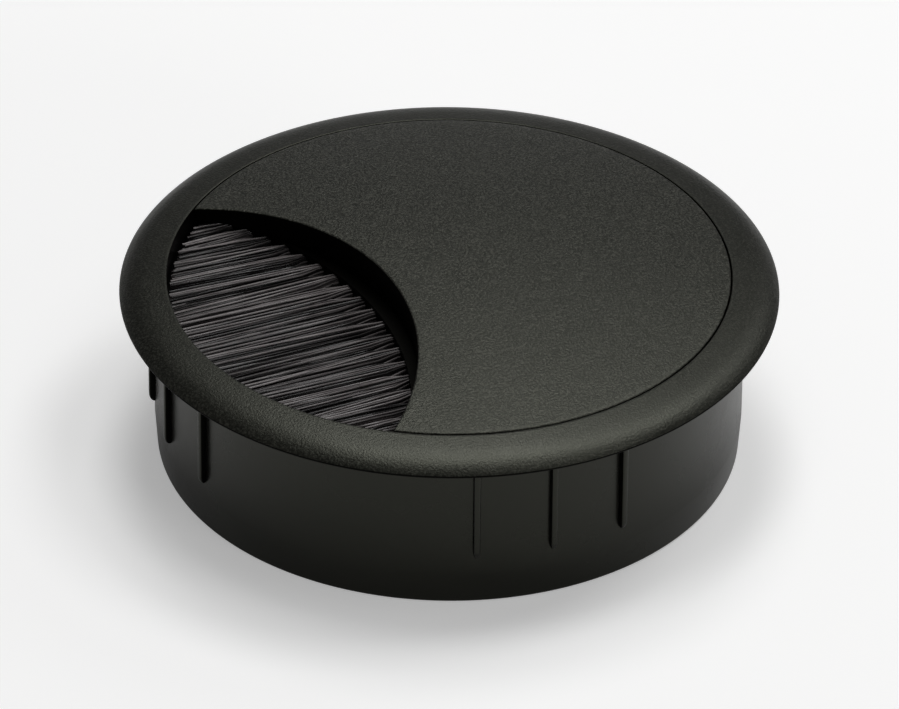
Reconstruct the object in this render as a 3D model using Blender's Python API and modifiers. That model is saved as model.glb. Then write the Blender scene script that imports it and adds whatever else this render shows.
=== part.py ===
"""Round desk grommet for an 80 mm hole: sleeve, turning brush carrier, bristle tufts and lift-off cover.

Metres, +Z up. The origin is on the sleeve's axis at the collar's bottom edge. The cable opening, a lens
between the sleeve's bore and a round bite in the cover, faces -X.
"""

import math

import bmesh
import bpy
from mathutils import Matrix

MM = 0.001

# Sleeve
FLANGE_RADIUS = 44.0 * MM
FLANGE_UNDERSIDE_Z = 23.2 * MM
FLANGE_CORNER = 0.25 * MM
COLLAR_RADIUS = 39.45 * MM
COLLAR_FOOT_RADIUS = 39.15 * MM
LEAD_IN_Z = 4.7 * MM
BORE_RADIUS = 37.65 * MM
BORE_CHAMFER = 0.13 * MM
RIM_Z = 25.8 * MM
RIM_SLOPE = 0.156
FOOT_CORNER = 0.5 * MM
LEDGE_RADIUS = 35.9 * MM
LEDGE_TOP_Z = 9.0 * MM
LEDGE_BOTTOM_Z = 7.6 * MM
LEDGE_ROOT_Z = 6.0 * MM

# Crush ribs that grip the desk hole: four groups of three
RIB_TIP_RADIUS = 40.3 * MM
RIB_ROOT_RADIUS = 38.7 * MM
RIB_WIDTH = 1.3 * MM
RIB_FOOT_Z = 7.35 * MM
RIB_HEAD_Z = 23.7 * MM
RIB_ROUND = 0.55 * MM
RIB_GROUPS = 4
RIB_SPACING = math.radians(14.9)
RIB_TURN = math.radians(-7.4)

# Cover
GAP = 0.3 * MM
COVER_RADIUS = BORE_RADIUS - GAP
CROWN = 2.93 * MM
COVER_THICKNESS = 1.8 * MM
COVER_UNDERSIDE_Z = 24.0 * MM
COVER_EDGE_ROUND = 0.25 * MM
BITE_RADIUS = 37.5 * MM
BITE_OFFSET = 47.0 * MM
LIP_THICKNESS = 1.5 * MM
CAVITY_RADIUS = 34.3 * MM
SKIRT_OUTER = 35.55 * MM
SKIRT_INNER = 34.55 * MM
SKIRT_FOOT_Z = 20.5 * MM
SKIRT_HEAD_Z = 24.6 * MM
SKIRT_END_X = -13.0 * MM
TONGUE_OUTER = 35.15 * MM
TONGUE_INNER = 34.35 * MM
TONGUE_WIDTH = 8.0 * MM
TONGUE_FOOT_Z = 13.0 * MM
TONGUE_HEAD_Z = 23.0 * MM
TONGUE_ANGLES = (-90.0, 0.0, 90.0)

# Brush carrier, whose brush is turned a little from the cover's bite
BRUSH_TURN = math.radians(-0.8)
CARRIER_OUTER = 37.3 * MM
CARRIER_INNER = 35.9 * MM
CARRIER_FOOT_Z = LEDGE_TOP_Z + GAP
CARRIER_TOP_Z = COVER_UNDERSIDE_Z - GAP
WINDOW_SILL_Z = 12.3 * MM
WINDOW_HALF_WIDTH = 30.4 * MM
WINDOW_INNER_X = -20.0 * MM
BAR_CENTRE_X = -59.8 * MM
BAR_FACE_RADIUS = 48.45 * MM
BAR_DEPTH = 6.0 * MM
BAR_FOOT_Z = 19.4 * MM
BAR_END_RADIUS = 36.6 * MM

# Tufts and the staples that hold their folded roots in the carrier's holes
TUFT_COUNT = 19
TUFT_STEP = math.radians(3.84)
TUFT_WIDTH = 2.2 * MM
TUFT_THICKNESS = 2.2 * MM
TUFT_Z = 22.3 * MM
TUFT_SWEEP = math.radians(3.4)
TUFT_REACH = BORE_RADIUS - 0.35 * MM
TUFT_CORNER = 0.15 * MM
HOLE_RADIUS = 1.1 * MM
HOLE_DEPTH = 4.2 * MM
HOLE_LEAD = 3.0 * MM
STAPLE_SIZE = (1.6 * MM, 0.4 * MM, 1.2 * MM)
STAPLE_DEPTH = 3.1 * MM

TURN_STEPS = 96
ARC_STEPS = 128
CUTTER_REACH = 10.0 * MM

# Finishes: colour, roughness, metallic
BLACK_PLASTIC = ((0.030, 0.031, 0.028, 1.0), 0.5, 0.0)
SATIN_PLASTIC = ((0.024, 0.025, 0.022, 1.0), 0.35, 0.0)
BRISTLE_NYLON = ((0.060, 0.054, 0.056, 1.0), 0.45, 0.0)
STEEL_WIRE = ((0.55, 0.54, 0.52, 1.0), 0.3, 1.0)


def clear_scene():
    for item in list(bpy.data.objects):
        bpy.data.objects.remove(item, do_unlink=True)


def new_collection(name):
    collection = bpy.data.collections.new(name)
    bpy.context.scene.collection.children.link(collection)
    return collection


def make_material(name, finish):
    """A plain Principled material of its own for one sub-part."""
    colour, roughness, metallic = finish
    material = bpy.data.materials.new(name)
    material.use_nodes = True
    shader = material.node_tree.nodes["Principled BSDF"]
    shader.inputs["Base Color"].default_value = colour
    shader.inputs["Roughness"].default_value = roughness
    shader.inputs["Metallic"].default_value = metallic
    material.diffuse_color = colour
    return material


def add_object(name, mesh, collection, parent=None):
    item = bpy.data.objects.new(name, mesh)
    collection.objects.link(item)
    item.parent = parent
    return item


def add_part(name, mesh, finish, parent=None):
    item = add_object(name, mesh, PARTS, parent)
    mesh.materials.append(make_material(name, finish))
    return item


def add_cutter(name, mesh, parent=None):
    item = add_object(name, mesh, CUTTERS, parent)
    item.hide_render = True
    item.display_type = "WIRE"
    return item


def profile_mesh(name, points, closed):
    """A turning profile in the XZ plane from (radius, height) points."""
    mesh = bpy.data.meshes.new(name)
    edges = [(i, i + 1) for i in range(len(points) - 1)]
    if closed:
        edges.append((len(points) - 1, 0))
    mesh.from_pydata([(radius, 0.0, height) for radius, height in points], edges, [])
    return mesh


def turn(item, steps):
    """Turns the object's profile once round Z."""
    screw = item.modifiers.new("turn", "SCREW")
    screw.axis = "Z"
    screw.angle = math.tau
    screw.steps = steps
    screw.render_steps = steps
    screw.use_merge_vertices = True
    screw.merge_threshold = 0.00001
    screw.use_smooth_shade = True


def boolean(item, cutter, operation):
    modifier = item.modifiers.new(cutter.name, "BOOLEAN")
    modifier.operation = operation
    modifier.object = cutter
    modifier.solver = "EXACT"


def cylinder_mesh(name, radius, low_z, high_z, centre=(0.0, 0.0), steps=ARC_STEPS):
    """An upright cylinder between two heights."""
    mesh = bpy.data.meshes.new(name)
    bm = bmesh.new()
    bmesh.ops.create_cone(
        bm, cap_ends=True, cap_tris=False, segments=steps, radius1=radius, radius2=radius, depth=high_z - low_z
    )
    bmesh.ops.translate(bm, verts=bm.verts, vec=(centre[0], centre[1], (low_z + high_z) / 2))
    bm.to_mesh(mesh)
    bm.free()
    return mesh


def add_box(bm, low, high):
    """Adds a box between two corners to bm and returns its vertices."""
    made = bmesh.ops.create_cube(bm, size=1.0)["verts"]
    size = [b - a for a, b in zip(low, high)]
    middle = [(a + b) / 2 for a, b in zip(low, high)]
    bmesh.ops.scale(bm, verts=made, vec=size)
    bmesh.ops.translate(bm, verts=made, vec=middle)
    return made


def box_mesh(name, low, high):
    mesh = bpy.data.meshes.new(name)
    bm = bmesh.new()
    add_box(bm, low, high)
    bm.to_mesh(mesh)
    bm.free()
    return mesh


def dome_z(radius):
    """Height of the cover's crowned top."""
    return RIM_Z + CROWN * (1.0 - (radius / BORE_RADIUS) ** 2)


def corner_arc(centre_r, centre_z, radius, start, stop, steps):
    """Points of a small round corner, angles in degrees from +R towards +Z."""
    points = []
    for i in range(steps + 1):
        angle = math.radians(start + (stop - start) * i / steps)
        points.append((centre_r + radius * math.cos(angle), centre_z + radius * math.sin(angle)))
    return points


def flange_top(stop_radius, stop_z, steps):
    """The flange's top: it carries on the cover's slope and rolls over towards the edge."""
    points = []
    start = BORE_RADIUS + BORE_CHAMFER
    roll = RIM_Z - RIM_SLOPE * (stop_radius - BORE_RADIUS) - stop_z
    for i in range(steps + 1):
        t = i / steps
        radius = start + (stop_radius - start) * t
        points.append((radius, RIM_Z - RIM_SLOPE * (radius - BORE_RADIUS) - roll * t**4))
    return points


def sleeve_profile():
    corner_r = FLANGE_RADIUS - FLANGE_CORNER
    corner_z = FLANGE_UNDERSIDE_Z + FLANGE_CORNER
    corner = corner_arc(corner_r, corner_z, FLANGE_CORNER, 45, -90, 3)
    points = [(BORE_RADIUS, RIM_Z - BORE_CHAMFER)]
    points += flange_top(*corner[0], 10)
    points += corner[1:]
    points.append((COLLAR_RADIUS, FLANGE_UNDERSIDE_Z))
    points.append((COLLAR_RADIUS, LEAD_IN_Z))
    points += corner_arc(COLLAR_FOOT_RADIUS - FOOT_CORNER, FOOT_CORNER, FOOT_CORNER, 0, -90, 3)
    points.append((BORE_RADIUS + BORE_CHAMFER, 0.0))
    points.append((BORE_RADIUS, BORE_CHAMFER))
    points.append((BORE_RADIUS, LEDGE_ROOT_Z))
    points.append((LEDGE_RADIUS, LEDGE_BOTTOM_Z))
    points.append((LEDGE_RADIUS, LEDGE_TOP_Z))
    points.append((BORE_RADIUS, LEDGE_TOP_Z))
    return points


def ribs_mesh():
    """All crush ribs: upright bars with rounded edges and feet."""
    mesh = bpy.data.meshes.new("crush_ribs")
    bm = bmesh.new()
    for group in range(RIB_GROUPS):
        for place in (-1, 0, 1):
            rib = bmesh.new()
            low = (RIB_ROOT_RADIUS, -RIB_WIDTH / 2, RIB_FOOT_Z)
            high = (RIB_TIP_RADIUS, RIB_WIDTH / 2, RIB_HEAD_Z)
            add_box(rib, low, high)
            middle_r = (RIB_ROOT_RADIUS + RIB_TIP_RADIUS) / 2
            edges = []
            for edge in rib.edges:
                ends = [vert.co for vert in edge.verts]
                outer = min(end.x for end in ends) > middle_r
                level = abs(ends[0].z - ends[1].z) < MM
                foot = max(end.z for end in ends) < RIB_FOOT_Z + MM
                if (outer and not level) or (outer and foot):
                    edges.append(edge)
            bmesh.ops.bevel(rib, geom=edges, offset=RIB_ROUND, segments=4, profile=0.5, affect="EDGES")
            angle = RIB_TURN + math.tau * group / RIB_GROUPS + place * RIB_SPACING
            bmesh.ops.rotate(rib, verts=rib.verts, cent=(0, 0, 0), matrix=Matrix.Rotation(angle, 3, "Z"))
            piece = bpy.data.meshes.new("rib")
            rib.to_mesh(piece)
            rib.free()
            bm.from_mesh(piece)
            bpy.data.meshes.remove(piece)
    bm.to_mesh(mesh)
    bm.free()
    return mesh


def build_sleeve():
    sleeve = add_part("flanged_sleeve", profile_mesh("flanged_sleeve", sleeve_profile(), True), BLACK_PLASTIC)
    turn(sleeve, TURN_STEPS)
    ribs = add_cutter("crush_ribs", ribs_mesh())
    boolean(sleeve, ribs, "UNION")


def cover_profile():
    """The cover before it is hollowed: a crowned disc with a flat underside."""
    steps = 12
    edge = COVER_RADIUS - COVER_EDGE_ROUND
    points = [(edge * i / steps, dome_z(edge * i / steps)) for i in range(steps + 1)]
    points += corner_arc(edge, dome_z(edge) - COVER_EDGE_ROUND, COVER_EDGE_ROUND, 60, 0, 2)
    points.append((COVER_RADIUS, COVER_UNDERSIDE_Z))
    points.append((0.0, COVER_UNDERSIDE_Z))
    return points


def cavity_profile():
    """The hollow under the crowned plate."""
    steps = 10
    points = []
    for i in range(steps + 1):
        radius = CAVITY_RADIUS * i / steps
        points.append((radius, dome_z(radius) - COVER_THICKNESS))
    points.append((CAVITY_RADIUS, COVER_UNDERSIDE_Z - CUTTER_REACH))
    points.append((0.0, COVER_UNDERSIDE_Z - CUTTER_REACH))
    return points


def skirt_profile():
    return [
        (SKIRT_OUTER, SKIRT_HEAD_Z),
        (SKIRT_OUTER, SKIRT_FOOT_Z),
        (SKIRT_INNER, SKIRT_FOOT_Z),
        (SKIRT_INNER, SKIRT_HEAD_Z),
    ]


def tongues_mesh():
    """Clip tongues that hang from the cover's skirt."""
    mesh = bpy.data.meshes.new("clip_tongues")
    bm = bmesh.new()
    for angle in TONGUE_ANGLES:
        low = (TONGUE_INNER, -TONGUE_WIDTH / 2, TONGUE_FOOT_Z)
        high = (TONGUE_OUTER, TONGUE_WIDTH / 2, TONGUE_HEAD_Z)
        verts = add_box(bm, low, high)
        bmesh.ops.rotate(bm, verts=verts, cent=(0, 0, 0), matrix=Matrix.Rotation(math.radians(angle), 3, "Z"))
    bm.to_mesh(mesh)
    bm.free()
    return mesh


def build_cover():
    cover = add_part("cover_plate", profile_mesh("cover_plate", cover_profile(), False), BLACK_PLASTIC)
    turn(cover, TURN_STEPS)

    cavity = add_cutter("cover_cavity", profile_mesh("cover_cavity", cavity_profile(), False))
    turn(cavity, TURN_STEPS)
    low_z = COVER_UNDERSIDE_Z - 2 * CUTTER_REACH
    high_z = RIM_Z + 2 * CUTTER_REACH
    bite_centre = (-BITE_OFFSET, 0.0)
    lip_mesh = cylinder_mesh("bite_lip", BITE_RADIUS + LIP_THICKNESS, low_z, high_z, bite_centre)
    boolean(cavity, add_cutter("bite_lip", lip_mesh), "DIFFERENCE")
    boolean(cover, cavity, "DIFFERENCE")

    bite = add_cutter("bite", cylinder_mesh("bite", BITE_RADIUS, low_z, high_z, bite_centre))
    boolean(cover, bite, "DIFFERENCE")

    skirt = add_cutter("cover_skirt", profile_mesh("cover_skirt", skirt_profile(), True))
    turn(skirt, TURN_STEPS)
    low = (-2 * BORE_RADIUS, -2 * BORE_RADIUS, low_z)
    high = (SKIRT_END_X, 2 * BORE_RADIUS, high_z)
    skirt_end = add_cutter("skirt_end", box_mesh("skirt_end", low, high))
    boolean(skirt, skirt_end, "DIFFERENCE")
    boolean(cover, skirt, "UNION")
    tongues = add_cutter("clip_tongues", tongues_mesh())
    boolean(cover, tongues, "UNION")


def face_x(y):
    """Where the carrier's brush face lies at a distance y from its middle plane."""
    return BAR_CENTRE_X + math.sqrt(BAR_FACE_RADIUS**2 - y**2)


def tuft_y(index):
    """The tufts stand at even steps round the face."""
    return BAR_FACE_RADIUS * math.sin((index - (TUFT_COUNT - 1) / 2) * TUFT_STEP)


def tuft_hinge_x(index):
    """A tuft bends where it leaves its hole, just clear of the slanting face."""
    outer_y = abs(tuft_y(index)) + TUFT_WIDTH / 2 + TUFT_CORNER
    return face_x(outer_y) - GAP - TUFT_CORNER - TUFT_THICKNESS / 2


def tuft_length(index, offset):
    """How far the bore is from the hinge along the swept tuft, at an offset from its middle line."""
    along = (-math.cos(TUFT_SWEEP), math.sin(TUFT_SWEEP))
    x = tuft_hinge_x(index) + offset * math.sin(TUFT_SWEEP)
    y = tuft_y(index) + offset * math.cos(TUFT_SWEEP)
    toward = x * along[0] + y * along[1]
    return math.sqrt(toward**2 + TUFT_REACH**2 - x**2 - y**2) - toward


def carrier_profile():
    return [
        (CARRIER_OUTER, CARRIER_TOP_Z),
        (CARRIER_OUTER, CARRIER_FOOT_Z),
        (CARRIER_INNER, CARRIER_FOOT_Z),
        (CARRIER_INNER, CARRIER_TOP_Z),
    ]


def tuft_holes_mesh():
    """One blind hole for each tuft, all parallel to X."""
    mesh = bpy.data.meshes.new("tuft_holes")
    bm = bmesh.new()
    quarter_turn = Matrix.Rotation(math.radians(90.0), 3, "Y")
    for index in range(TUFT_COUNT):
        y = tuft_y(index)
        low_x = face_x(abs(y)) - HOLE_LEAD
        high_x = face_x(abs(y)) + HOLE_DEPTH
        made = bmesh.ops.create_cone(
            bm, cap_ends=True, segments=12, radius1=HOLE_RADIUS, radius2=HOLE_RADIUS, depth=high_x - low_x
        )["verts"]
        bmesh.ops.rotate(bm, verts=made, cent=(0, 0, 0), matrix=quarter_turn)
        bmesh.ops.translate(bm, verts=made, vec=((low_x + high_x) / 2, y, TUFT_Z))
    bm.to_mesh(mesh)
    bm.free()
    return mesh


def build_carrier(brush_frame):
    """A ring with a window for the tufts, and the curved bar that holds their roots."""
    profile = profile_mesh("brush_carrier", carrier_profile(), True)
    carrier = add_part("brush_carrier", profile, SATIN_PLASTIC, brush_frame)
    turn(carrier, TURN_STEPS)
    low = (-2 * BORE_RADIUS, -WINDOW_HALF_WIDTH, WINDOW_SILL_Z)
    high = (WINDOW_INNER_X, WINDOW_HALF_WIDTH, CARRIER_TOP_Z + CUTTER_REACH)
    window = add_cutter("brush_window", box_mesh("brush_window", low, high), brush_frame)
    boolean(carrier, window, "DIFFERENCE")

    centre = (BAR_CENTRE_X, 0.0)
    bar_mesh = cylinder_mesh("brush_bar", BAR_FACE_RADIUS + BAR_DEPTH, BAR_FOOT_Z, CARRIER_TOP_Z, centre)
    bar = add_cutter("brush_bar", bar_mesh, brush_frame)
    low_z = BAR_FOOT_Z - CUTTER_REACH
    high_z = CARRIER_TOP_Z + CUTTER_REACH
    face_mesh = cylinder_mesh("brush_face", BAR_FACE_RADIUS, low_z, high_z, centre)
    boolean(bar, add_cutter("brush_face", face_mesh, brush_frame), "DIFFERENCE")
    ends_mesh = cylinder_mesh("bar_ends", BAR_END_RADIUS, low_z, high_z, steps=TURN_STEPS)
    boolean(bar, add_cutter("bar_ends", ends_mesh, brush_frame), "INTERSECT")
    boolean(carrier, bar, "UNION")
    boolean(carrier, add_cutter("tuft_holes", tuft_holes_mesh(), brush_frame), "DIFFERENCE")


def tuft_mesh(name, index):
    """A bundle of bristles as a bar with a round root, in its hinge's own frame, its tip cut to the bore."""
    mesh = bpy.data.meshes.new(name)
    bm = bmesh.new()
    half_width = TUFT_WIDTH / 2
    half_thickness = TUFT_THICKNESS / 2
    root_x = half_thickness
    add_box(bm, (-MM, -half_width, -half_thickness), (root_x, half_width, half_thickness))
    for vert in bm.verts:
        if vert.co.x < 0:
            vert.co.x = -tuft_length(index, vert.co.y)
    edges = []
    for edge in bm.edges:
        ends = [vert.co for vert in edge.verts]
        across = abs(ends[0].z - ends[1].z) < MM / 10
        if across and min(end.x for end in ends) > 0:
            edges.append(edge)
    bmesh.ops.bevel(bm, geom=edges, offset=half_thickness * 0.98, segments=4, profile=0.5, affect="EDGES")
    bm.to_mesh(mesh)
    bm.free()
    return mesh


def build_tufts(brush_frame):
    for index in range(TUFT_COUNT):
        name = f"bristle_tuft_{index + 1:02d}"
        tuft = add_part(name, tuft_mesh(name, index), BRISTLE_NYLON, brush_frame)
        tuft.location = (tuft_hinge_x(index), tuft_y(index), TUFT_Z)
        tuft.rotation_euler.z = -TUFT_SWEEP


def build_staples(brush_frame):
    shared = box_mesh("tuft_staple", [-size / 2 for size in STAPLE_SIZE], [size / 2 for size in STAPLE_SIZE])
    shared.materials.append(make_material("tuft_staple", STEEL_WIRE))
    for index in range(TUFT_COUNT):
        staple = add_object(f"tuft_staple_{index + 1:02d}", shared, PARTS, brush_frame)
        y = tuft_y(index)
        staple.location = (face_x(abs(y)) + STAPLE_DEPTH, y, TUFT_Z)


def main():
    build_sleeve()
    build_cover()
    brush_frame = add_object("brush_frame", None, PARTS)
    brush_frame.rotation_euler.z = BRUSH_TURN
    build_carrier(brush_frame)
    build_tufts(brush_frame)
    build_staples(brush_frame)


clear_scene()
PARTS = new_collection("desk_grommet")
CUTTERS = new_collection("cutters")
main()
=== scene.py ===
"""Looks of the black desk grommet: grained flange and crowned cover, satin collar and nylon brush.

Metres, +Z up, in the part's own frame. The opening faces -X.
"""

import math
import random

import bmesh
import bpy
from mathutils import Matrix, Vector


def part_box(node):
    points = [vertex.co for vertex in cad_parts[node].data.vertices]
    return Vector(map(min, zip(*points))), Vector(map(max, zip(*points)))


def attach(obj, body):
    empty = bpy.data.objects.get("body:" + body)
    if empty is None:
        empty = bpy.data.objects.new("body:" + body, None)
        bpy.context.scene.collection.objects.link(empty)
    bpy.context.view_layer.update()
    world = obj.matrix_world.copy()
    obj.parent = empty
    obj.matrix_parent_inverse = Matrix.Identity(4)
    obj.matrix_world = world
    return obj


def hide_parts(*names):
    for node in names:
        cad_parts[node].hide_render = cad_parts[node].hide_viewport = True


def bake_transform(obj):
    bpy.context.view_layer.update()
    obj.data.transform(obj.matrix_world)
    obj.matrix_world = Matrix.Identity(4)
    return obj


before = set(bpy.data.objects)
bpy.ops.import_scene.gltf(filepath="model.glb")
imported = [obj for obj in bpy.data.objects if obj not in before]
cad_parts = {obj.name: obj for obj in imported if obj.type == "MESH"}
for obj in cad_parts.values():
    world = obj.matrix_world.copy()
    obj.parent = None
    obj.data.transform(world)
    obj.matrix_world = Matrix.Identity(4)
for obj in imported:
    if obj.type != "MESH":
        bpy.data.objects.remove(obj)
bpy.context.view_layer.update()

MM = 0.001
SEED = 41

# Sizes read from the frame
_, SLEEVE_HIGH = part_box("flanged_sleeve")
COVER_LOW, COVER_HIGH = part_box("cover_plate")
_, CARRIER_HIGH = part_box("brush_carrier")
FLANGE_RADIUS = SLEEVE_HIGH.x
GAP = 0.3 * MM
SEAM = 0.14 * MM
BORE_RADIUS = COVER_HIGH.x + GAP
COVER_RADIUS = BORE_RADIUS - SEAM
COVER_TOP_Z = COVER_HIGH.z
CARRIER_TOP_Z = CARRIER_HIGH.z
COVER_FOOT_Z = CARRIER_TOP_Z + GAP

# Sleeve
RIM_Z = 25.8 * MM
RIM_SLOPE = 0.156
RIM_ROUND = 0.18 * MM
UNDERSIDE_Z = 23.2 * MM
FLANGE_CORNER = 0.25 * MM
COLLAR_RADIUS = 39.45 * MM
COLLAR_FILLET = 0.35 * MM
FOOT_RADIUS = 39.15 * MM
FOOT_ROUND = 0.5 * MM
LEAD_IN_Z = 4.7 * MM
LEAD_IN_ROUND = 0.3 * MM
LEAD_IN_STEP = 0.02 * MM
LEDGE_RADIUS = 35.9 * MM
LEDGE_TOP_Z = 9.0 * MM
LEDGE_BOTTOM_Z = 7.6 * MM
LEDGE_ROOT_Z = 6.0 * MM
SMALL_ROUND = 0.15 * MM
SLEEVE_STEPS = 288
ROLL_STEPS = 26
SLEEVE_SHARP = 35.0
# A face is a rib's flank if it looks at least this squarely round the axis, and the flange's edge if it looks
# up less than this; both kinds of face get painted shade
FLANK_FACING = 0.8
EDGE_FACING = 0.42

# Crush ribs
RIB_TIP_RADIUS = 40.3 * MM
RIB_ROOT_RADIUS = 38.9 * MM
RIB_HALF_WIDTH = 0.48 * MM
RIB_END_LENGTH = 1.4 * MM
RIB_FOOT_Z = 7.35 * MM
RIB_HEAD_Z = 23.6 * MM
RIB_SPACING = math.radians(14.9)
RIB_TURN = math.radians(-7.4)
RIB_GROUPS = 4
RIB_SIDES = 16
RIB_END_STEPS = 8
RIB_END_SHARE = 0.02

# Cover
BITE_RADIUS = 37.5 * MM
BITE_OFFSET = 47.0 * MM
COVER_THICKNESS = 1.8 * MM
COVER_ROUND = 0.22 * MM
LIP_THICKNESS = 1.5 * MM
RIM_WIDTH = COVER_RADIUS - 34.3 * MM
CROWN = COVER_TOP_Z - RIM_Z
SKIRT_OUTER = 35.55 * MM
SKIRT_INNER = 34.55 * MM
SKIRT_FOOT_Z = 20.5 * MM
SKIRT_END_X = -13.0 * MM
TONGUE_OUTER = 35.15 * MM
TONGUE_INNER = 34.35 * MM
TONGUE_WIDTH = 8.0 * MM
TONGUE_FOOT_Z = COVER_LOW.z
TONGUE_ANGLES = (-90.0, 0.0, 90.0)
TONGUE_ROUND = 0.25 * MM
SKIRT_OVERLAP = 0.6 * MM
COVER_STEPS = 192
COVER_ROUND_STEPS = 4
COVER_TOP_ROWS = 28
COVER_UNDER_ROWS = 12
COVER_SHARP = 50.0
TOP_FACING = 0.2

# Brush
BRUSH_TURN = math.radians(-0.8)
BAR_CENTRE_X = -59.8 * MM
BAR_FACE_RADIUS = 48.45 * MM
TUFT_COUNT = 19
TUFT_STEP = math.radians(3.84)
TUFT_Z = 22.3 * MM
TUFT_SWEEP = math.radians(3.4)
TUFT_STRAY = math.radians(1.3)
BRISTLES_PER_TUFT = 36
BRISTLE_RADIUS = 0.15 * MM
BRISTLE_SIDES = 6
BRISTLE_STEPS = 9
BRISTLE_SHARP = 60.0
ROOT_DEPTH = 2.2 * MM
ROOT_RADIUS = 0.9 * MM
SPREAD_LENGTH = 2.6 * MM
BUNDLE_HALF_WIDTH = 2.0 * MM
BUNDLE_HALF_HEIGHT = 0.95 * MM
TIP_GAP = 0.18 * MM
BEND_LENGTH = 5.0 * MM
LONGEST_BRISTLE = 40.0 * MM
REACH_HALVINGS = 24
WAVE_LENGTH = 6.0 * MM
# How far single bristles differ: slopes sideways and up, wave and lost length in millimetres, thickness
BRISTLE_LEAN = 0.016
BRISTLE_LIFT = 0.010
BRISTLE_WAVE = 0.14
BRISTLE_WEAR = 0.25
BRISTLE_THICKNESS = (0.88, 1.1)

# Materials: the black plastic's gloss is a little olive. Noise scales are per metre, and most of a noise's
# values lie in the middle range.
BLACK_TINT = (0.97, 1.0, 0.82, 1.0)
GRAIN_SCALE = 3300.0
# The grain's pits get this colour as painted shade
GRAIN_PAINTED_SHADE = (0.0005, 0.0005, 0.0004, 1.0)
GRAIN_DUST = (0.22, 0.22, 0.20, 1.0)
SMOOTH_DUST = (0.12, 0.12, 0.11, 1.0)
SMOOTH_BLACK = (0.004, 0.0038, 0.0034, 1.0)
# Painted shade: a darker, duller copy of the black plastic, for the bore, rib flanks, the flange's outer
# edge, the cover's walls and underside and the brush carrier
PAINTED_SHADE_BLACK = (0.0012, 0.001, 0.001, 1.0)
MIDDLE_RANGE = (0.3, 0.7)
UNIT_RANGE = (0.0, 1.0)

# View
CAMERA_TURN = math.radians(-117.92)
CAMERA_ELEVATION = math.radians(34.4)
CAMERA_DISTANCE = 1173.3 * MM
CAMERA_ROLL = math.radians(0.55)
CAMERA_AIM_Z = 12.6 * MM
CAMERA_AIM_RIGHT = 0.106 * MM
CAMERA_LENS = 350.56
SENSOR_WIDTH = 36.0

# Light: each softbox has an azimuth and an elevation in degrees, and a power in watts
SOFTBOX_SIZE = 0.42
SOFTBOX_DISTANCE = 1.2
SOFTBOX_AIM_Z = 0.02
SOFTBOXES = (
    ("overhead", 180.0, 82.0, 2.3),
    ("overhead_left", 270.0, 82.0, 0.7),
    ("back", 180.0, 62.0, 2.2),
    ("back_right", 120.0, 62.0, 2.4),
    ("front_right", 60.0, 62.0, 0.7),
    ("far_right", 135.0, 38.0, 0.9),
    ("low_right", 45.0, 12.0, 2.0),
    ("low_back", 180.0, 12.0, 0.12),
)
FLOOR_RADIUS = 6.0
FLOOR_SIDES = 96
FLOOR_GLOW = 0.07
# The floor shows paler to the camera, most of all far off: from and to these distances and strengths
FLOOR_FADE = (0.4, 3.0)
FLOOR_SHOWN = (0.27, 0.85)
ROOM_LIGHT = 0.083
ROOM_SHOWN = 1.0


# ---------------------------------------------------------------- materials

def new_material(name):
    material = bpy.data.materials.new(name)
    material.use_nodes = True
    return material, material.node_tree.nodes, material.node_tree.links


def add_node(nodes, kind, **values):
    node = nodes.new(kind)
    for key, value in values.items():
        setattr(node, key, value)
    return node


def object_coordinates(nodes, links, scale=(1.0, 1.0, 1.0)):
    coordinates = nodes.new("ShaderNodeTexCoord")
    mapping = nodes.new("ShaderNodeMapping")
    mapping.inputs["Scale"].default_value = scale
    links.new(coordinates.outputs["Object"], mapping.inputs["Vector"])
    return mapping.outputs["Vector"]


def add_noise(nodes, links, vector, scale, detail=2.0, roughness=0.5):
    noise = nodes.new("ShaderNodeTexNoise")
    noise.inputs["Scale"].default_value = scale
    noise.inputs["Detail"].default_value = detail
    noise.inputs["Roughness"].default_value = roughness
    links.new(vector, noise.inputs["Vector"])
    return noise.outputs["Fac"]


def add_range(nodes, links, value, source, target):
    """Maps one range of values to another, clamped."""
    mapped = nodes.new("ShaderNodeMapRange")
    mapped.inputs["From Min"].default_value = source[0]
    mapped.inputs["From Max"].default_value = source[1]
    mapped.inputs["To Min"].default_value = target[0]
    mapped.inputs["To Max"].default_value = target[1]
    links.new(value, mapped.inputs["Value"])
    return mapped.outputs["Result"]


def add_mix(nodes, links, factor, first, second):
    """Mixes two colours, each a colour or a socket."""
    mix = add_node(nodes, "ShaderNodeMix", data_type="RGBA")
    links.new(factor, mix.inputs["Factor"])
    for socket, value in (("A", first), ("B", second)):
        target = [s for s in mix.inputs if s.name == socket and s.type == "RGBA"][0]
        if isinstance(value, tuple):
            target.default_value = value
        else:
            links.new(value, target)
    return [s for s in mix.outputs if s.type == "RGBA"][0]


def add_dust(nodes, links, vector, cell, size, share):
    """A mask of sparse small specks: one in some of the cells."""
    voronoi = add_node(nodes, "ShaderNodeTexVoronoi", feature="F1")
    voronoi.inputs["Scale"].default_value = 1.0 / cell
    links.new(vector, voronoi.inputs["Vector"])
    fade = (size / cell, 0.5 * size / cell)
    near = add_range(nodes, links, voronoi.outputs["Distance"], fade, UNIT_RANGE)
    pick = nodes.new("ShaderNodeSeparateColor")
    links.new(voronoi.outputs["Color"], pick.inputs["Color"])
    chosen = add_node(nodes, "ShaderNodeMath", operation="LESS_THAN")
    chosen.inputs[1].default_value = share
    links.new(pick.outputs["Red"], chosen.inputs[0])
    both = add_node(nodes, "ShaderNodeMath", operation="MULTIPLY")
    links.new(near, both.inputs[0])
    links.new(chosen.outputs[0], both.inputs[1])
    return both.outputs[0]


def add_bump(nodes, links, height, strength, distance):
    bump = nodes.new("ShaderNodeBump")
    bump.inputs["Strength"].default_value = strength
    bump.inputs["Distance"].default_value = distance
    links.new(height, bump.inputs["Height"])
    return bump.outputs["Normal"]


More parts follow.
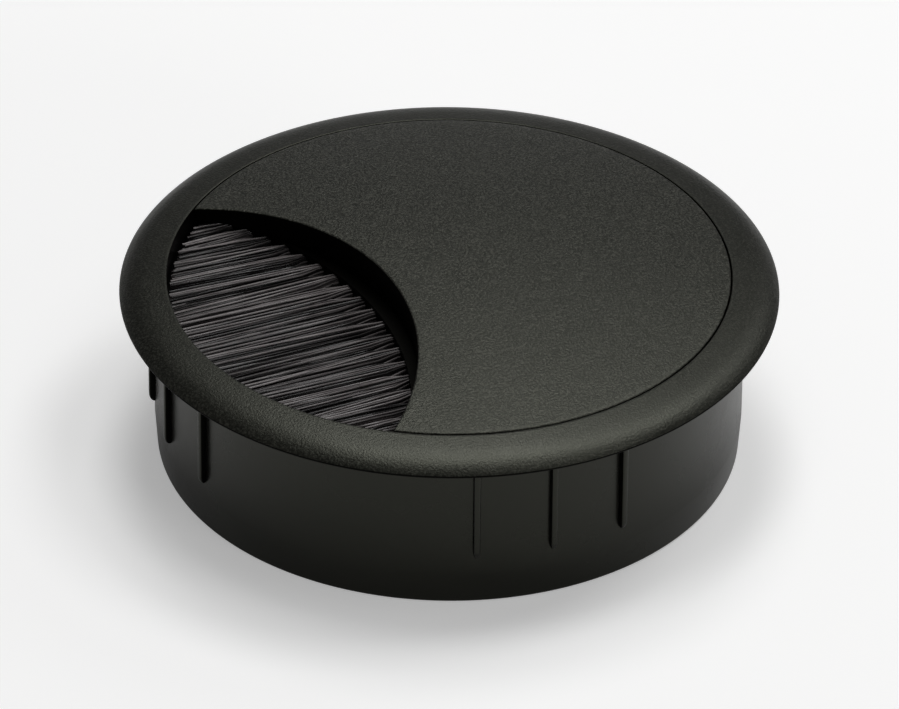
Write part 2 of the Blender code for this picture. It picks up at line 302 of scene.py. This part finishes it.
def grained_plastic(name, depth, pale):
    """Black moulded plastic with a fine spark-eroded grain, a painted highlight on the grain's tops and
    painted shade in its pits, and a little dust.
    """
    material, nodes, links = new_material(name)
    shader = nodes["Principled BSDF"]
    shader.inputs["Specular IOR Level"].default_value = 0.5
    shader.inputs["Specular Tint"].default_value = BLACK_TINT
    vector = object_coordinates(nodes, links)
    grain = add_noise(nodes, links, vector, GRAIN_SCALE, 2.0, 0.7)
    cloud = add_noise(nodes, links, vector, 90.0, 3.0, 0.55)
    # The grain's colour follows its bump height: a painted highlight on the tops, painted shade in the pits
    grain_painted_light = add_range(nodes, links, grain, (0.46, 0.66), UNIT_RANGE)
    colour = add_mix(nodes, links, grain_painted_light, GRAIN_PAINTED_SHADE, (pale, pale, 0.85 * pale, 1.0))
    dust = add_dust(nodes, links, vector, 3.2 * MM, 0.10 * MM, 0.22)
    links.new(add_mix(nodes, links, dust, colour, GRAIN_DUST), shader.inputs["Base Color"])
    links.new(add_range(nodes, links, cloud, MIDDLE_RANGE, (0.34, 0.40)), shader.inputs["Roughness"])
    links.new(add_bump(nodes, links, grain, 1.0, depth), shader.inputs["Normal"])
    return material


def smooth_plastic(name, colour, roughness, level):
    """Black moulded plastic with a cloudy satin polish and a little dust."""
    material, nodes, links = new_material(name)
    shader = nodes["Principled BSDF"]
    shader.inputs["Specular IOR Level"].default_value = level
    shader.inputs["Specular Tint"].default_value = BLACK_TINT
    vector = object_coordinates(nodes, links)
    cloud = add_noise(nodes, links, vector, 70.0, 3.0, 0.5)
    fine = add_noise(nodes, links, vector, 1500.0, 2.0, 0.5)
    lighter = tuple(1.25 * c for c in colour[:3]) + (1.0,)
    shade = add_mix(nodes, links, cloud, colour, lighter)
    dust = add_dust(nodes, links, vector, 4.0 * MM, 0.07 * MM, 0.2)
    links.new(add_mix(nodes, links, dust, shade, SMOOTH_DUST), shader.inputs["Base Color"])
    spread = (roughness - 0.04, roughness + 0.05)
    links.new(add_range(nodes, links, cloud, MIDDLE_RANGE, spread), shader.inputs["Roughness"])
    links.new(add_bump(nodes, links, fine, 0.12, 0.010 * MM), shader.inputs["Normal"])
    return material


def bristle_nylon():
    """Dark grey filament, each strand a little lighter or darker than the next."""
    material, nodes, links = new_material("bristle_nylon")
    shader = nodes["Principled BSDF"]
    shader.inputs["Specular IOR Level"].default_value = 0.5
    island = nodes.new("ShaderNodeNewGeometry").outputs["Random Per Island"]
    strand = add_range(nodes, links, island, (0.25, 0.75), UNIT_RANGE)
    tone = add_noise(nodes, links, object_coordinates(nodes, links), 300.0, 2.0, 0.6)
    shade = add_mix(nodes, links, strand, (0.006, 0.005, 0.005, 1.0), (0.150, 0.136, 0.136, 1.0))
    worn = add_mix(nodes, links, strand, (0.012, 0.010, 0.010, 1.0), (0.220, 0.202, 0.200, 1.0))
    level = add_range(nodes, links, tone, MIDDLE_RANGE, UNIT_RANGE)
    links.new(add_mix(nodes, links, level, shade, worn), shader.inputs["Base Color"])
    links.new(add_range(nodes, links, tone, MIDDLE_RANGE, (0.26, 0.36)), shader.inputs["Roughness"])
    links.new(add_bump(nodes, links, tone, 0.15, 0.01 * MM), shader.inputs["Normal"])
    return material


def staple_wire():
    """Plated flat wire with fine drawing lines."""
    material, nodes, links = new_material("staple_wire")
    shader = nodes["Principled BSDF"]
    shader.inputs["Metallic"].default_value = 1.0
    lines = object_coordinates(nodes, links, (400.0, 9000.0, 9000.0))
    drawn = add_noise(nodes, links, lines, 1.0, 2.0, 0.5)
    plate = add_mix(nodes, links, drawn, (0.5, 0.49, 0.46, 1.0), (0.66, 0.65, 0.62, 1.0))
    links.new(plate, shader.inputs["Base Color"])
    links.new(add_range(nodes, links, drawn, MIDDLE_RANGE, (0.22, 0.38)), shader.inputs["Roughness"])
    return material


def paint(name, material):
    """Gives one of the frame's own pieces its material."""
    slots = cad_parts[name].data.materials
    slots.clear()
    slots.append(material)


# ---------------------------------------------------------------- shapes

def smooth_faces(mesh, sharp):
    """Shades mesh smooth, apart from edges sharper than an angle in degrees."""
    mesh.shade_smooth()
    mesh.set_sharp_from_angle(angle=math.radians(sharp))


def finish_mesh(name, bm, materials, sharp=SLEEVE_SHARP):
    """Turns bm into a shaded object in the scene."""
    bmesh.ops.recalc_face_normals(bm, faces=bm.faces)
    mesh = bpy.data.meshes.new(name)
    bm.to_mesh(mesh)
    bm.free()
    smooth_faces(mesh, sharp)
    for material in materials:
        mesh.materials.append(material)
    item = bpy.data.objects.new(name, mesh)
    bpy.context.scene.collection.objects.link(item)
    return item


def arc(centre_r, centre_z, radius, start, stop, steps):
    """Points of an arc in a turning profile, angles in degrees from +R towards +Z."""
    points = []
    for i in range(steps + 1):
        angle = math.radians(start + (stop - start) * i / steps)
        points.append((centre_r + radius * math.cos(angle), centre_z + radius * math.sin(angle)))
    return points


def lathe(profile, steps):
    """A closed profile of (radius, height) points turned round Z."""
    bm = bmesh.new()
    rings = []
    for i in range(steps):
        angle = math.tau * i / steps
        ring = []
        for radius, height in profile:
            ring.append(bm.verts.new((radius * math.cos(angle), radius * math.sin(angle), height)))
        rings.append(ring)
    for i in range(steps):
        here = rings[i]
        there = rings[(i + 1) % steps]
        for j in range(len(profile)):
            k = (j + 1) % len(profile)
            bm.faces.new((here[j], there[j], there[k], here[k]))
    return bm


def boolean(item, cutter, operation):
    """Joins or cuts item with cutter, keeps the result as item's mesh and removes cutter."""
    modifier = item.modifiers.new(operation.lower(), "BOOLEAN")
    modifier.operation = operation
    modifier.object = cutter
    modifier.solver = "EXACT"
    graph = bpy.context.evaluated_depsgraph_get()
    mesh = bpy.data.meshes.new_from_object(item.evaluated_get(graph))
    item.modifiers.clear()
    item.data = mesh
    bpy.data.objects.remove(cutter)


def dome_z(radius):
    """Height of the crowned cover."""
    return RIM_Z + CROWN * (1.0 - (radius / BORE_RADIUS) ** 2)


def flange_profile():
    """The flange's top, which falls ever faster from the bore to its rounded outer corner."""
    corner_r = FLANGE_RADIUS - FLANGE_CORNER
    corner_z = UNDERSIDE_Z + FLANGE_CORNER
    corner = arc(corner_r, corner_z, FLANGE_CORNER, 45, -90, 9)
    inner = BORE_RADIUS + RIM_ROUND
    points = arc(inner, RIM_Z - RIM_ROUND * (1.0 + RIM_SLOPE), RIM_ROUND, 180, 100, 5)
    stop_r, stop_z = corner[0]
    roll = RIM_Z - RIM_SLOPE * (stop_r - BORE_RADIUS) - stop_z
    for i in range(1, ROLL_STEPS):
        t = i / ROLL_STEPS
        radius = inner + (stop_r - inner) * t
        points.append((radius, RIM_Z - RIM_SLOPE * (radius - BORE_RADIUS) - roll * t**4))
    return points + corner


def sleeve_profile():
    """Half of the sleeve's section: flange, collar, lead-in, foot, bore and ledge."""
    points = flange_profile()
    points += arc(COLLAR_RADIUS + COLLAR_FILLET, UNDERSIDE_Z - COLLAR_FILLET, COLLAR_FILLET, 90, 180, 4)
    points.append((COLLAR_RADIUS, LEAD_IN_Z + LEAD_IN_ROUND))
    points.append((COLLAR_RADIUS - LEAD_IN_STEP, LEAD_IN_Z))
    points += arc(FOOT_RADIUS - FOOT_ROUND, FOOT_ROUND, FOOT_ROUND, 0, -90, 6)
    points += arc(BORE_RADIUS + SMALL_ROUND, SMALL_ROUND, SMALL_ROUND, -90, -180, 3)
    points.append((BORE_RADIUS, LEDGE_ROOT_Z))
    points.append((LEDGE_RADIUS, LEDGE_BOTTOM_Z))
    points += arc(LEDGE_RADIUS + SMALL_ROUND, LEDGE_TOP_Z - SMALL_ROUND, SMALL_ROUND, 180, 90, 3)
    points.append((BORE_RADIUS, LEDGE_TOP_Z))
    return points


def bridge(bm, first, second):
    """Joins two rings with a band of quads."""
    count = len(first)
    for i in range(count):
        k = (i + 1) % count
        bm.faces.new((first[i], first[k], second[k], second[i]))


def add_rib(bm, angle):
    """Adds an upright bead with rounded edges and a round lower end to bm."""
    height = RIB_TIP_RADIUS - COLLAR_RADIUS
    depth = COLLAR_RADIUS - RIB_ROOT_RADIUS
    levels = [(RIB_HEAD_Z, 1.0)]
    for i in range(RIB_END_STEPS + 1):
        turn = math.radians(90.0 * i / RIB_END_STEPS)
        z = RIB_FOOT_Z + RIB_END_LENGTH * (1.0 - math.sin(turn))
        levels.append((z, max(math.cos(turn), RIB_END_SHARE)))
    rings = []
    for z, size in levels:
        ring = []
        for i in range(RIB_SIDES + 1):
            turn = math.pi * i / RIB_SIDES
            x = COLLAR_RADIUS + height * size * math.sqrt(math.sin(turn))
            y = -math.copysign(math.sqrt(abs(math.cos(turn))), math.cos(turn))
            ring.append(bm.verts.new((x, RIB_HALF_WIDTH * size * y, z)))
        ring.append(bm.verts.new((COLLAR_RADIUS - depth, RIB_HALF_WIDTH * size, z)))
        ring.append(bm.verts.new((COLLAR_RADIUS - depth, -RIB_HALF_WIDTH * size, z)))
        rings.append(ring)
    for upper, lower in zip(rings, rings[1:]):
        bridge(bm, upper, lower)
    bm.faces.new(rings[0])
    bm.faces.new(rings[-1][::-1])
    made = [vert for ring in rings for vert in ring]
    bmesh.ops.rotate(bm, verts=made, cent=(0, 0, 0), matrix=Matrix.Rotation(angle, 3, "Z"))


def build_sleeve(grained, smooth, painted_shade):
    """The sleeve: grained on the flange's top and smooth on the collar, with painted shade in the bore, on
    the rib flanks and on the flange's outer edge.
    """
    sleeve = finish_mesh("sleeve_moulding", lathe(sleeve_profile(), SLEEVE_STEPS), [grained, smooth, painted_shade])
    bm = bmesh.new()
    for group in range(RIB_GROUPS):
        for place in (-1, 0, 1):
            add_rib(bm, RIB_TURN + math.tau * group / RIB_GROUPS + place * RIB_SPACING)
    boolean(sleeve, finish_mesh("ribs", bm, [grained]), "UNION")
    grain_z = UNDERSIDE_Z + FLANGE_CORNER
    # Painted shade on faces in the bore, on rib flanks and on the flange's outer edge; grained above the
    # flange's corner, smooth below
    for face in sleeve.data.polygons:
        radius = math.hypot(face.center.x, face.center.y)
        across = (face.normal.y * face.center.x - face.normal.x * face.center.y) / radius
        flank = abs(across) > FLANK_FACING and radius > COLLAR_RADIUS and face.center.z < UNDERSIDE_Z
        edge = face.normal.z < EDGE_FACING and radius > FLANGE_RADIUS - 2 * FLANGE_CORNER
        if flank or edge or radius < BORE_RADIUS + 0.1 * RIM_ROUND:
            face.material_index = 2
        else:
            face.material_index = 0 if face.center.z > grain_z else 1
    smooth_faces(sleeve.data, SLEEVE_SHARP)
    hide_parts("flanged_sleeve")
    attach(sleeve, "sleeve")


def corner_point(outer_r, bite_r):
    """Where a circle about the axis crosses a circle about the bite's centre, on the +Y side."""
    x = (bite_r**2 - outer_r**2 - BITE_OFFSET**2) / (2 * BITE_OFFSET)
    return x, math.sqrt(outer_r**2 - x**2)


def cover_loop(outer_in, bite_in, steps):
    """The cover's outline, pulled in from its round edge and from its bite: points, outer arc first."""
    outer_r = COVER_RADIUS - outer_in
    bite_r = BITE_RADIUS + bite_in
    x, y = corner_point(outer_r, bite_r)
    outer_angle = math.atan2(y, x)
    bite_angle = math.atan2(y, x + BITE_OFFSET)
    points = []
    for i in range(steps):
        angle = -outer_angle + 2 * outer_angle * i / steps
        points.append((outer_r * math.cos(angle), outer_r * math.sin(angle)))
    for i in range(steps):
        angle = bite_angle - 2 * bite_angle * i / steps
        points.append((bite_r * math.cos(angle) - BITE_OFFSET, bite_r * math.sin(angle)))
    return points


def ruled_fill(bm, loop, steps, rows, height):
    """Fills a cover loop with rows of quads between its outer arc and its bite."""
    outer = loop[: steps + 1]
    bite = [loop[0]] + loop[: steps - 1 : -1]
    grid = [outer]
    for j in range(1, rows):
        t = j / rows
        row = [outer[0]]
        for i in range(1, steps):
            a = outer[i].co
            b = bite[i].co
            x = a.x + (b.x - a.x) * t
            y = a.y + (b.y - a.y) * t
            row.append(bm.verts.new((x, y, height(math.hypot(x, y)))))
        row.append(outer[-1])
        grid.append(row)
    grid.append(bite)
    for upper, lower in zip(grid, grid[1:]):
        for i in range(steps):
            corners = []
            for vert in (upper[i], upper[i + 1], lower[i + 1], lower[i]):
                if vert not in corners:
                    corners.append(vert)
            if len(corners) > 2:
                bm.faces.new(corners)


def cover_shell():
    """The cover's plate with its rounded edges, outer rim and lip below the bite, as one closed mesh."""
    steps = COVER_STEPS
    bm = bmesh.new()

    def add_loop(outer_in, bite_in, height):
        loop = []
        for x, y in cover_loop(outer_in, bite_in, steps):
            loop.append(bm.verts.new((x, y, height(math.hypot(x, y)))))
        return loop

    loops = []
    for i in range(COVER_ROUND_STEPS + 1):
        turn = math.radians(90.0 * i / COVER_ROUND_STEPS)
        inset = COVER_ROUND * (1.0 - math.sin(turn))
        drop = COVER_ROUND * (1.0 - math.cos(turn))
        loops.append(add_loop(inset, inset, lambda r, d=drop: dome_z(r) - d))
    foot = SMALL_ROUND
    loops.append(add_loop(0.0, 0.0, lambda r: COVER_FOOT_Z + foot))
    loops.append(add_loop(0.3 * foot, 0.3 * foot, lambda r: COVER_FOOT_Z + 0.3 * foot))
    loops.append(add_loop(foot, foot, lambda r: COVER_FOOT_Z))
    loops.append(add_loop(RIM_WIDTH, LIP_THICKNESS, lambda r: COVER_FOOT_Z))
    loops.append(add_loop(RIM_WIDTH, LIP_THICKNESS, lambda r: dome_z(r) - COVER_THICKNESS))
    ruled_fill(bm, loops[0], steps, COVER_TOP_ROWS, dome_z)
    for first, second in zip(loops, loops[1:]):
        bridge(bm, first, second)
    ruled_fill(bm, loops[-1], steps, COVER_UNDER_ROWS, lambda r: dome_z(r) - COVER_THICKNESS)
    return bm


def add_box(bm, low, high):
    """Adds a box between two corners to bm and returns its corners."""
    made = bmesh.ops.create_cube(bm, size=1.0)["verts"]
    bmesh.ops.scale(bm, verts=made, vec=[b - a for a, b in zip(low, high)])
    bmesh.ops.translate(bm, verts=made, vec=[(a + b) / 2 for a, b in zip(low, high)])
    return made


def skirt_shape():
    """The short skirt under the cover, which stops short of the bite."""
    head_z = COVER_FOOT_Z + SKIRT_OVERLAP
    profile = [
        (SKIRT_OUTER, head_z),
        (SKIRT_OUTER, SKIRT_FOOT_Z + SMALL_ROUND),
        (SKIRT_OUTER - SMALL_ROUND, SKIRT_FOOT_Z),
        (SKIRT_INNER + SMALL_ROUND, SKIRT_FOOT_Z),
        (SKIRT_INNER, SKIRT_FOOT_Z + SMALL_ROUND),
        (SKIRT_INNER, head_z),
    ]
    skirt = finish_mesh("skirt", lathe(profile, COVER_STEPS), [])
    ends = bmesh.new()
    reach = 2 * BORE_RADIUS
    add_box(ends, (-reach, -reach, 0.0), (SKIRT_END_X, reach, 2 * RIM_Z))
    boolean(skirt, finish_mesh("skirt_ends", ends, []), "DIFFERENCE")
    return skirt


def tongue_shapes():
    """The three clip tongues, with their lower edges rounded."""
    bm = bmesh.new()
    for angle in TONGUE_ANGLES:
        low = (TONGUE_INNER, -TONGUE_WIDTH / 2, TONGUE_FOOT_Z)
        high = (TONGUE_OUTER, TONGUE_WIDTH / 2, CARRIER_TOP_Z - MM)
        verts = add_box(bm, low, high)
        foot = [e for e in bm.edges if all(v in verts and v.co.z < TONGUE_FOOT_Z + MM for v in e.verts)]
        rounded = bmesh.ops.bevel(bm, geom=foot, offset=TONGUE_ROUND, segments=3, profile=0.5, affect="EDGES")
        verts = [v for v in bm.verts if v in verts or v in rounded["verts"]]
        turned = Matrix.Rotation(math.radians(angle), 3, "Z")
        bmesh.ops.rotate(bm, verts=verts, cent=(0, 0, 0), matrix=turned)
    return finish_mesh("tongues", bm, [])


def build_cover(grained, painted_shade):
    """The cover: grained on top, with painted shade on its walls and underside."""
    cover = finish_mesh("crowned_cover", cover_shell(), [grained, painted_shade], COVER_SHARP)
    boolean(cover, skirt_shape(), "UNION")
    boolean(cover, tongue_shapes(), "UNION")
    # Painted shade on every face that doesn't look up
    for face in cover.data.polygons:
        face.material_index = 0 if face.normal.z > TOP_FACING else 1
    smooth_faces(cover.data, COVER_SHARP)
    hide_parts("cover_plate")
    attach(cover, "cover")


# ---------------------------------------------------------------- brush

def face_x(y):
    """Where the carrier's brush face lies."""
    return BAR_CENTRE_X + math.sqrt(BAR_FACE_RADIUS**2 - y**2)


def tuft_angle(index):
    """A tuft's angle on the face's circle, from the middle of the row."""
    return (index - (TUFT_COUNT - 1) / 2) * TUFT_STEP


def tuft_y(index):
    """A tuft's place across the opening, before the brush is turned."""
    return BAR_FACE_RADIUS * math.sin(tuft_angle(index))


def bundle_points(count):
    """Places in a unit disc, spread evenly like seeds in a sunflower."""
    golden = math.pi * (3.0 - math.sqrt(5.0))
    points = []
    for i in range(count):
        radius = math.sqrt((i + 0.5) / count)
        points.append((radius * math.cos(golden * i), radius * math.sin(golden * i)))
    return points


def ease(t):
    """Goes gently from 0 to 1 as t does."""
    t = min(max(t, 0.0), 1.0)
    return t * t * (3.0 - 2.0 * t)


def bristle_path(index, place, stray, rng):
    """One bristle's centre line, from its hole to the bore: a list of points."""
    sweep = TUFT_SWEEP + stray
    y = tuft_y(index)
    mouth = Vector((face_x(y), y, TUFT_Z))
    lean = rng.gauss(0.0, BRISTLE_LEAN)
    lift = rng.gauss(0.0, BRISTLE_LIFT)
    wave = rng.uniform(-BRISTLE_WAVE, BRISTLE_WAVE) * MM
    phase = rng.uniform(0.0, math.pi)
    half_width = BUNDLE_HALF_WIDTH * math.cos(tuft_angle(index))

    def at(distance):
        spread = ease(distance / SPREAD_LENGTH)
        free = max(distance, 0.0)
        turn = TUFT_SWEEP + (sweep - TUFT_SWEEP) * ease(distance / BEND_LENGTH)
        along = Vector((-math.cos(turn), math.sin(turn), 0.0))
        across = Vector((math.sin(turn), math.cos(turn), 0.0))
        side = (ROOT_RADIUS + (half_width - ROOT_RADIUS) * spread) * place[0] + lean * free
        side += wave * math.sin(free / WAVE_LENGTH + phase) * spread
        up = (ROOT_RADIUS + (BUNDLE_HALF_HEIGHT - ROOT_RADIUS) * spread) * place[1] + lift * free
        return mouth + along * distance + across * side + Vector((0.0, 0.0, up))

    reach = BORE_RADIUS - TIP_GAP - BRISTLE_RADIUS - abs(rng.gauss(0.0, BRISTLE_WEAR)) * MM
    low, high = 0.0, LONGEST_BRISTLE
    for _ in range(REACH_HALVINGS):
        middle = (low + high) / 2
        if at(middle).xy.length < reach:
            low = middle
        else:
            high = middle
    turned = Matrix.Rotation(BRUSH_TURN, 3, "Z")
    points = []
    for i in range(BRISTLE_STEPS + 1):
        points.append(turned @ at(-ROOT_DEPTH + (low + ROOT_DEPTH) * i / BRISTLE_STEPS))
    return points


def add_tube(bm, path, radius):
    """A round strand along path, with a blunt tip."""
    rings = []
    last = len(path) - 1
    for i, point in enumerate(path):
        ahead = path[min(i + 1, last)] - path[max(i - 1, 0)]
        ahead.normalize()
        side = ahead.cross(Vector((0, 0, 1))).normalized()
        up = side.cross(ahead)
        ring = []
        for k in range(BRISTLE_SIDES):
            angle = math.tau * k / BRISTLE_SIDES
            offset = side * math.cos(angle) + up * math.sin(angle)
            ring.append(bm.verts.new(point + offset * radius))
        rings.append(ring)
    for here, there in zip(rings, rings[1:]):
        bridge(bm, here, there)
    bm.faces.new(rings[0][::-1])
    bm.faces.new(rings[-1])


def build_tuft(index, material):
    """One tuft, its bristles running from holes in the carrier's face towards the bore."""
    rng = random.Random(SEED + index)
    bm = bmesh.new()
    stray = rng.gauss(0.0, TUFT_STRAY)
    for place in bundle_points(BRISTLES_PER_TUFT):
        path = bristle_path(index, place, stray, rng)
        add_tube(bm, path, BRISTLE_RADIUS * rng.uniform(*BRISTLE_THICKNESS))
    name = f"{index + 1:02d}"
    tuft = finish_mesh(f"bristles_{name}", bm, [material], BRISTLE_SHARP)
    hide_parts(f"bristle_tuft_{name}")
    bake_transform(tuft)


# ---------------------------------------------------------------- stage

def view_axes():
    """The camera's level right and back directions."""
    back = Vector((-math.cos(CAMERA_TURN), -math.sin(CAMERA_TURN), 0.0))
    right = Vector((-math.sin(CAMERA_TURN), math.cos(CAMERA_TURN), 0.0))
    return right, back


def add_camera():
    """A long lens that looks down on the grommet, with the opening on the left."""
    right, back = view_axes()
    aim = right * CAMERA_AIM_RIGHT + Vector((0.0, 0.0, CAMERA_AIM_Z))
    toward = -back * math.cos(CAMERA_ELEVATION) + Vector((0, 0, math.sin(CAMERA_ELEVATION)))
    data = bpy.data.cameras.new("camera")
    data.sensor_width = SENSOR_WIDTH
    data.lens = CAMERA_LENS
    data.clip_start = 0.01
    camera = bpy.data.objects.new("camera", data)
    bpy.context.scene.collection.objects.link(camera)
    camera.location = aim + toward * CAMERA_DISTANCE
    look = (-toward).to_track_quat("-Z", "Y").to_matrix()
    camera.rotation_euler = (look @ Matrix.Rotation(CAMERA_ROLL, 3, "Z")).to_euler()
    bpy.context.scene.camera = camera


def add_softbox(name, azimuth, elevation, power):
    """A round area light: azimuth 0 is over the viewer, 90 to the right, 180 behind."""
    right, back = view_axes()
    turn = math.radians(azimuth)
    rise = math.radians(elevation)
    level = right * math.sin(turn) - back * math.cos(turn)
    direction = level * math.cos(rise) + Vector((0.0, 0.0, math.sin(rise)))
    data = bpy.data.lights.new(name, "AREA")
    data.shape = "DISK"
    data.size = SOFTBOX_SIZE
    data.energy = power
    light = bpy.data.objects.new(name, data)
    bpy.context.scene.collection.objects.link(light)
    light.location = direction * SOFTBOX_DISTANCE + Vector((0.0, 0.0, SOFTBOX_AIM_Z))
    light.rotation_euler = (-direction).to_track_quat("-Z", "Y").to_euler()


def add_floor():
    """A wide sheet of pale paper."""
    bm = bmesh.new()
    bmesh.ops.create_circle(bm, cap_ends=True, segments=FLOOR_SIDES, radius=FLOOR_RADIUS)
    material, nodes, links = new_material("paper")
    shader = nodes["Principled BSDF"]
    vector = object_coordinates(nodes, links)
    tone = add_noise(nodes, links, vector, 6.0, 2.0, 0.5)
    sheet = add_mix(nodes, links, tone, (0.88, 0.88, 0.88, 1.0), (0.90, 0.90, 0.895, 1.0))
    links.new(sheet, shader.inputs["Base Color"])
    shader.inputs["Roughness"].default_value = 0.9
    shader.inputs["Specular IOR Level"].default_value = 0.1
    shader.inputs["Emission Color"].default_value = (1.0, 1.0, 1.0, 1.0)
    path = nodes.new("ShaderNodeLightPath")
    distance = add_node(nodes, "ShaderNodeVectorMath", operation="LENGTH")
    links.new(vector, distance.inputs[0])
    shown = add_range(nodes, links, distance.outputs["Value"], FLOOR_FADE, FLOOR_SHOWN)
    glow = add_node(nodes, "ShaderNodeMath", operation="MULTIPLY_ADD")
    links.new(path.outputs["Is Camera Ray"], glow.inputs[0])
    links.new(shown, glow.inputs[1])
    glow.inputs[2].default_value = FLOOR_GLOW
    links.new(glow.outputs["Value"], shader.inputs["Emission Strength"])
    finish_mesh("floor", bm, [material])


def add_world():
    """A soft grey room that looks pale behind the floor."""
    world = bpy.data.worlds.new("room")
    bpy.context.scene.world = world
    world.use_nodes = True
    nodes = world.node_tree.nodes
    links = world.node_tree.links
    background = nodes["Background"]
    path = nodes.new("ShaderNodeLightPath")
    strength = add_range(nodes, links, path.outputs["Is Camera Ray"], UNIT_RANGE, (ROOM_LIGHT, ROOM_SHOWN))
    background.inputs["Color"].default_value = (1.0, 1.0, 1.0, 1.0)
    links.new(strength, background.inputs["Strength"])


def main():
    # The cover's grain gets a stronger painted highlight than the flange's, though both are the same plastic
    flange_black = grained_plastic("grained_flange", 0.055 * MM, 0.027)
    cover_black = grained_plastic("grained_cover", 0.100 * MM, 0.056)
    smooth_black = smooth_plastic("smooth_plastic", SMOOTH_BLACK, 0.26, 0.38)
    # A darker, duller copy of the black plastic, as painted shade for faces where shade falls
    painted_shade = smooth_plastic("painted_shade_plastic", PAINTED_SHADE_BLACK, 0.45, 0.05)
    nylon = bristle_nylon()
    wire = staple_wire()
    add_camera()
    build_sleeve(flange_black, smooth_black, painted_shade)
    build_cover(cover_black, painted_shade)
    # The brush carrier gets the painted shade material all over
    paint("brush_carrier", painted_shade)
    for index in range(TUFT_COUNT):
        build_tuft(index, nylon)
        paint(f"tuft_staple_{index + 1:02d}", wire)
    for name, azimuth, elevation, power in SOFTBOXES:
        add_softbox(name, azimuth, elevation, power)
    add_floor()
    add_world()
    bpy.context.scene.view_settings.view_transform = "Standard"


main()
